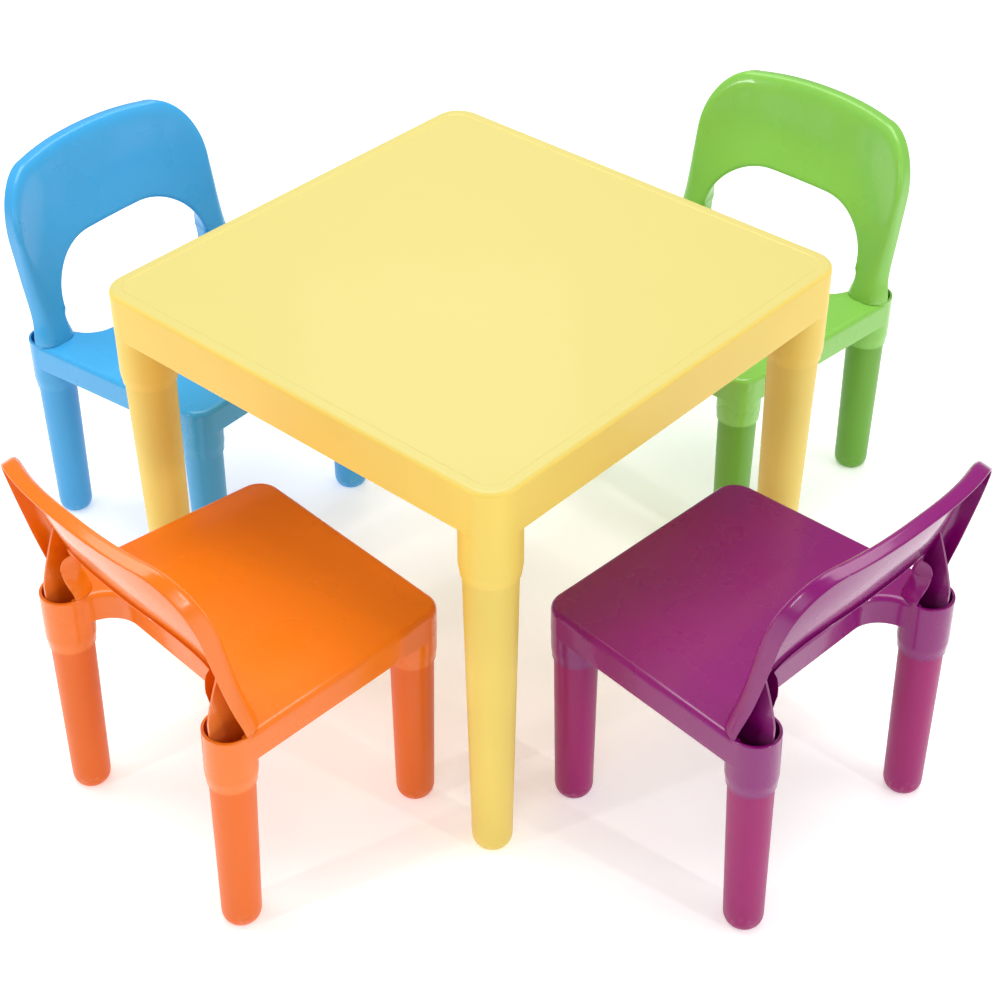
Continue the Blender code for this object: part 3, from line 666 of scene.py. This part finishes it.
def edge_pairs():
    """Two columns of (x, height): the outer edge and the opening's, from one foot to the middle of the top.

    Each is the plug, the straight side, a quarter ellipse round the bend and the run to the middle.
    """
    plug = np.linspace(SOCKET_BOTTOM + FIT - SEAT_HEIGHT, 0.0, 5)[:-1]
    lift = COLLAR_LIFT / INNER_END
    side = np.concatenate([[0.0, lift * 0.99, lift * 1.01], np.linspace(0.0, 1.0, 31)[1:-1]])
    bend = arc(0.0, 90.0, 30)[:-1]
    run = np.linspace(1.0, 0.0, 11)
    inner_side = INNER_END * side
    outer_side = inner_side + (OUTER_END - INNER_END) * side**2
    outer_foot, inner_foot = REAR_X + PLUG_RADIUS, REAR_X - PLUG_RADIUS
    outer_x = edge_x(outer_foot, OUTER_LOW, OUTER_HIGH, outer_side, OUTER_END)
    inner_x = edge_x(inner_foot, ARCH_LOW, ARCH_HIGH, inner_side, INNER_END)
    shoulder_x = OUTER_HIGH - SHOULDER[0] * (1 - np.cos(bend))
    arch_x = ARCH_HIGH - ARCH_BEND[0] * (1 - np.cos(bend))
    outer = np.concatenate(
        [
            np.stack([np.full_like(plug, outer_foot), plug], axis=-1),
            np.stack([outer_x, outer_side], axis=-1),
            np.stack([shoulder_x, OUTER_END + SHOULDER[1] * np.sin(bend)], axis=-1),
            np.stack([(OUTER_HIGH - SHOULDER[0]) * run, RISE - TOP_CROWN * run**2], axis=-1),
        ]
    )
    inner = np.concatenate(
        [
            np.stack([np.full_like(plug, inner_foot), plug], axis=-1),
            np.stack([inner_x, inner_side], axis=-1),
            np.stack([arch_x, INNER_END + ARCH_BEND[1] * np.sin(bend)], axis=-1),
            np.stack([(ARCH_HIGH - ARCH_BEND[0]) * run, np.full_like(run, ARCH_RISE)], axis=-1),
        ]
    )
    return outer, inner


# %% Backrest loft
def channel_line(half, growth, flanges, wall):
    """One side of the channel's wall, as shifts and depths: flange, roll, face, roll, flange.

    Along a roll the shift goes with cos a and the depth with (1 - sin a)^1.3, so it eases into the face more
    gently than a quarter ellipse.
    """
    roll = arc(0.0, 90.0, 8)
    lines = []
    for (width, depth), flange in zip((OUTER_ROLL, INNER_ROLL), flanges):
        width = 0.97 * half + (width - 0.97 * half) * growth
        depth = PLUG_RADIUS + (depth - PLUG_RADIUS) * growth
        down = np.linspace(0.0, 1.0, 6)[:-1]
        flange_depth = flange + (depth - flange) * down
        roll_shift = half - width + (width - wall) * np.cos(roll)
        roll_depth = wall + (depth - wall) * (1.0 - np.sin(roll)) ** 1.3
        shifts = np.concatenate([(half - wall) + 0.0 * flange_depth, roll_shift], axis=1)
        depths = np.concatenate([flange_depth, roll_depth], axis=1)
        lines.append((shifts, depths))
    (outer_shift, outer_depth), (inner_shift, inner_depth) = lines
    inner_shift, inner_depth = -inner_shift[:, ::-1], inner_depth[:, ::-1]
    across = np.linspace(0.0, 1.0, 8)[1:-1]
    face_shift = outer_shift[:, -1:] + (inner_shift[:, :1] - outer_shift[:, -1:]) * across
    face_depth = np.full_like(face_shift, wall)
    return (
        np.concatenate([outer_shift, face_shift, inner_shift], axis=1),
        np.concatenate([outer_depth, face_depth, inner_depth], axis=1),
    )


def backrest_rings():
    """Each ring is the wall's outside, a half-round rim, its inside and another rim, from foot to foot."""
    outer, inner = edge_pairs()
    middle = (outer + inner) / 2
    half = np.linalg.norm(outer - inner, axis=1, keepdims=True) / 2
    across = (outer - middle) / half
    height = np.maximum(middle[:, 1:], 0.0)
    growth = smooth_step(height / ROLL_BLEND)
    outwards = np.minimum(np.abs(outer[:, :1]) / OUTER_HIGH, 1.0)
    outer_flange = TOP_FLANGE + FLANGE_GROWTH * outwards**4
    above = np.clip((inner[:, 1:] - FOOT_FLANGE_LOW) / FOOT_FLANGE_STEP, 0.0, 1.0)
    tapered = FOOT_FLANGE - FOOT_FLANGE_TAPER * np.maximum(inner[:, 1:], 0.0)
    inner_flange = ARCH_FLANGE + np.maximum(tapered - ARCH_FLANGE, 0.0) * np.sqrt(1.0 - above**2)
    flanges = (outer_flange - SHELL_WALL / 2, inner_flange - SHELL_WALL / 2)
    outside = channel_line(half, growth, flanges, 0.0)
    inside = channel_line(half, growth, flanges, SHELL_WALL)
    rim = arc(0.0, 180.0, 6)[1:-1]
    rim_shift = half - SHELL_WALL / 2 + SHELL_WALL / 2 * np.cos(rim)
    shift = np.concatenate([outside[0], -rim_shift, inside[0][:, ::-1], rim_shift[:, ::-1]], axis=1)
    depth = np.concatenate(
        [
            outside[1],
            flanges[1] + SHELL_WALL / 2 * np.sin(rim),
            inside[1][:, ::-1],
            flanges[0] + SHELL_WALL / 2 * np.sin(rim),
        ],
        axis=1,
    )
    # Above the seat, the deep part of the inner flange leans in behind the face.
    roll_depth = PLUG_RADIUS + (INNER_ROLL[1] - PLUG_RADIUS) * growth
    behind = np.where(shift < 0.0, np.maximum(depth - roll_depth, 0.0), 0.0)
    shift = shift + INNER_TUCK * smooth_step(height / FOOT_BLEND) * behind
    # Inside the socket, whatever lies behind the plug's widest part follows the bore's wall.
    beyond = np.maximum(depth - PLUG_RADIUS, 0.0)
    reach = np.sqrt(np.maximum(half**2 - beyond**2, 0.0)) * np.abs(shift) / half
    free = np.clip(outer[:, 1:] / PLUG_CLEAR, 0.0, 1.0)
    freed = np.sign(shift) * (reach + (np.abs(shift) - reach) * free)
    shift = np.where(beyond > 0.0, freed, shift)
    tilt = BACK_LEAN * smooth_step(height / FOOT_BLEND)
    x = middle[:, :1] + across[:, :1] * shift
    z = middle[:, 1:] + across[:, 1:] * shift
    y = face_y(x, np.maximum(z, 0.0)) + collar(height) - depth * np.cos(tilt)
    half_arch = np.stack([x, y, SEAT_HEIGHT + z - depth * np.sin(tilt)], axis=-1)
    return np.concatenate([half_arch, half_arch[-2::-1] * (-1.0, 1.0, 1.0)])


# %% [markdown]
# ## The rib inside each foot
# Behind the face, a thin upright web stiffens each foot. It is as deep as the socket at the seat, then its
# free edge sweeps up in a hollow curve and meets the face two fifths of the way up. The outline is one closed
# line in the YZ plane, given the web's thickness. A flat plate with a Solidify modifier would do as well, but
# would have to be joined to the shell afterwards in the same way.


# %% Ribs and backrest
RIB_KNEE, RIB_TIP = 0.014, 0.076  # heights above the seat at which the sweep starts and ends
RIB_HALF_WALL = 0.0012


def rib(side):
    """A web whose rear edge is y = rear + (tip - rear) s^1.25, with s the share of the way up.

    Its front edge lies inside the shell's wall.
    """
    bottom, knee, tip = SOCKET_BOTTOM + FIT, SEAT_HEIGHT + RIB_KNEE, RIB_TIP
    rear = -PLUG_RADIUS + SHELL_WALL / 4
    share = np.linspace(0.0, 1.0, 17)
    inside = SHELL_WALL * 0.6
    tip_y = face_y(REAR_X, tip) - inside
    sweep_y = rear + (tip_y - rear) * share**1.25
    sweep = np.stack([sweep_y, knee + (SEAT_HEIGHT + tip - knee) * share], axis=-1)
    down = np.linspace(tip, 0.0, 17)[1:]
    front = np.stack([face_y(REAR_X, down) - inside, SEAT_HEIGHT + down], axis=-1)
    line = np.concatenate([[(rear, bottom)], sweep, front, [(PLUG_RADIUS - inside, bottom)]])
    walls = (-RIB_HALF_WALL, RIB_HALF_WALL)
    rings = np.stack([np.column_stack([np.full(len(line), side * REAR_X + half), line]) for half in walls])
    return skin(rings, FLAT, FLAT)


backrest_mesh = carve("backrest_moulded", skin(backrest_rings(), FLAT, FLAT), [rib(-1), rib(1)], [])

# %% [markdown]
# ## Four chairs
# All four chairs come out of the same moulds, so each mesh is made once and copied. A copy's place is written
# into its points, as the CAD nodes do, and the object itself stays at the origin.

# %% Place the chairs
chair_legs = {
    (row, side): closed_mesh(
        "chair_leg", *turned(leg_profile(CHAIR_LEG_RADII, CHAIR_SLEEVE_END, CHAIR_LEG_TOP), at, lean)
    )
    for row, side, _, at, lean in leg_places
}
for chair, (facing, offset, distance, twist) in CHAIR_PLACES.items():
    angle = math.radians(facing)
    place = to_table @ Matrix.Translation(
        (
            offset * math.cos(angle) + distance * math.sin(angle),
            offset * math.sin(angle) - distance * math.cos(angle),
            0.0,
        )
    )
    place = place @ Matrix.Rotation(math.radians(facing + twist), 4, "Z")
    parts = [(seat_mesh, "seat", "moulding", True), (backrest_mesh, "backrest", "moulding", True)]
    parts += [(mesh, f"leg_{row}_{side}", "leg", False) for (row, side), mesh in chair_legs.items()]
    for source, part, kind, weighted in parts:
        mesh = source.copy()
        mesh.transform(place)
        node, slot = f"{chair}_{part}", f"{chair}_{kind}"
        add_piece(node + "_moulded", mesh, finish[slot], node, chair + "_chair", weighted)

# %% [markdown]
# ## The floor, the light and the camera
# A pale floor with nothing on it, an even surround and a few large soft lamps, as in a studio: gloss only
# shows what it reflects. The overhead lamp gives the broad pale sheen on the seats. The three banks only fill
# the shaded sides, so they are kept out of the gloss, and the window and two narrow strips give the short
# bright lines on the shoulders of the backrests. One sky light would be simpler, but would leave the plastic
# looking dull.


# %% Floor
def floor_material():
    """A pale matt sweep with a slow drift of tone, lit a little from below so that shadows stay faint."""
    material = bpy.data.materials.new("pale_floor")
    material.use_nodes = True
    nodes, links = material.node_tree.nodes, material.node_tree.links
    shader = nodes["Principled BSDF"]
    where = nodes.new("ShaderNodeTexCoord").outputs["Object"]
    drift = nodes.new("ShaderNodeTexNoise")
    drift.inputs["Scale"].default_value = 1.5
    ramp = nodes.new("ShaderNodeValToRGB")
    ramp.color_ramp.elements[0].color = (0.90, 0.90, 0.90, 1.0)
    ramp.color_ramp.elements[1].color = (0.93, 0.93, 0.93, 1.0)
    links.new(where, drift.inputs["Vector"])
    links.new(drift.outputs["Fac"], ramp.inputs["Fac"])
    links.new(ramp.outputs["Color"], shader.inputs["Base Color"])
    shader.inputs["Roughness"].default_value = 0.9
    shader.inputs["Specular IOR Level"].default_value = 0.1
    shader.inputs["Emission Color"].default_value = (1.0, 1.0, 1.0, 1.0)
    shader.inputs["Emission Strength"].default_value = 0.35
    return material


FLOOR_HALF, FLOOR_LINES = 9.0, 13
line = np.linspace(-FLOOR_HALF, FLOOR_HALF, FLOOR_LINES)
grid_x, grid_y = np.meshgrid(line, line, indexing="ij")
floor_points = np.stack([grid_x, grid_y, np.zeros_like(grid_x)], axis=-1).reshape(-1, 3)
i, j = np.meshgrid(np.arange(FLOOR_LINES - 1), np.arange(FLOOR_LINES - 1), indexing="ij")
corner = (i * FLOOR_LINES + j).reshape(-1)
floor_faces = np.stack([corner, corner + FLOOR_LINES, corner + FLOOR_LINES + 1, corner + 1], axis=-1)
floor_mesh = bpy.data.meshes.new("floor")
floor_mesh.from_pydata(floor_points.tolist(), [], floor_faces.tolist())
floor_mesh.materials.append(floor_material())
floor = bpy.data.objects.new("floor", floor_mesh)
bpy.context.scene.collection.objects.link(floor)
floor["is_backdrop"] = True
print("the floor is", 2 * FLOOR_HALF, "m square")

# %% Light
world = bpy.data.worlds.new("studio")
world.use_nodes = True
background = world.node_tree.nodes["Background"]
background.inputs["Color"].default_value = (0.97, 0.985, 1.0, 1.0)
background.inputs["Strength"].default_value = 0.34
bpy.context.scene.world = world


def soft_lamp(name, at, target, size, power, mirrored=True):
    """A rectangular lamp at a point, facing another. One that isn't mirrored doesn't show in the gloss."""
    lamp = bpy.data.lights.new(name, "AREA")
    lamp.shape = "RECTANGLE"
    lamp.size, lamp.size_y = size
    lamp.energy = power
    obj = bpy.data.objects.new(name, lamp)
    bpy.context.scene.collection.objects.link(obj)
    obj.visible_glossy = mirrored
    obj.location = at
    obj.rotation_euler = (Vector(target) - Vector(at)).to_track_quat("-Z", "Y").to_euler()
    return obj


soft_lamp("overhead", (-0.3, 0.3, 2.8), (0.0, 0.0, 0.3), (2.4, 2.0), 66.0)
soft_lamp("left_bank", (-2.4, -1.6, 1.7), (0.0, 0.0, 0.3), (1.6, 1.4), 22.0, mirrored=False)
soft_lamp("right_bank", (2.6, 1.2, 1.7), (0.0, 0.0, 0.3), (1.6, 1.4), 19.0, mirrored=False)
soft_lamp("front_bank", (1.6, -2.2, 2.0), (0.0, 0.0, 0.2), (1.6, 1.2), 14.0, mirrored=False)
soft_lamp("window", (-1.75, 1.75, 2.25), (0.0, 0.0, 0.3), (0.7, 0.5), 3.5)
soft_lamp("strip_left", (-0.6, -2.6, 1.3), (0.0, 0.0, 0.35), (0.09, 1.0), 11.0)
soft_lamp("strip_right", (2.6, 0.0, 1.3), (0.0, 0.0, 0.35), (0.09, 1.0), 11.0)

# %% Camera
camera = bpy.data.cameras.new("camera")
camera.sensor_width = 36.0
camera.lens = 72.34
camera.shift_x = 0.043
camera.shift_y = -0.0091
camera.clip_end = 50.0
camera_object = bpy.data.objects.new("camera", camera)
bpy.context.scene.collection.objects.link(camera_object)
right = Vector((0.73610, 0.67672, -0.01472))
up = Vector((-0.40262, 0.45522, 0.79415))
back = Vector((0.54411, -0.57864, 0.60755))
turn = Matrix((right, up, back)).transposed().to_4x4()
camera_object.matrix_world = Matrix.Translation((1.13925, -1.26184, 1.45136)) @ turn
bpy.context.scene.camera = camera_object
bpy.context.scene.view_settings.view_transform = "Standard"
print("a", round(camera.lens, 2), "mm lens")

# %% [markdown]
# ## Measure and finish
# The finer pieces have to fill the same box as the CAD model. The CAD model's box is printed at the start,
# and the largest difference between the two boxes is printed.

# %% Finish
visual_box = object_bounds()
gap = max(abs(a - b) for one, other in zip(cad_box, visual_box) for a, b in zip(one, other))
print("the boxes differ by at most", round(1000 * gap, 2), "mm")
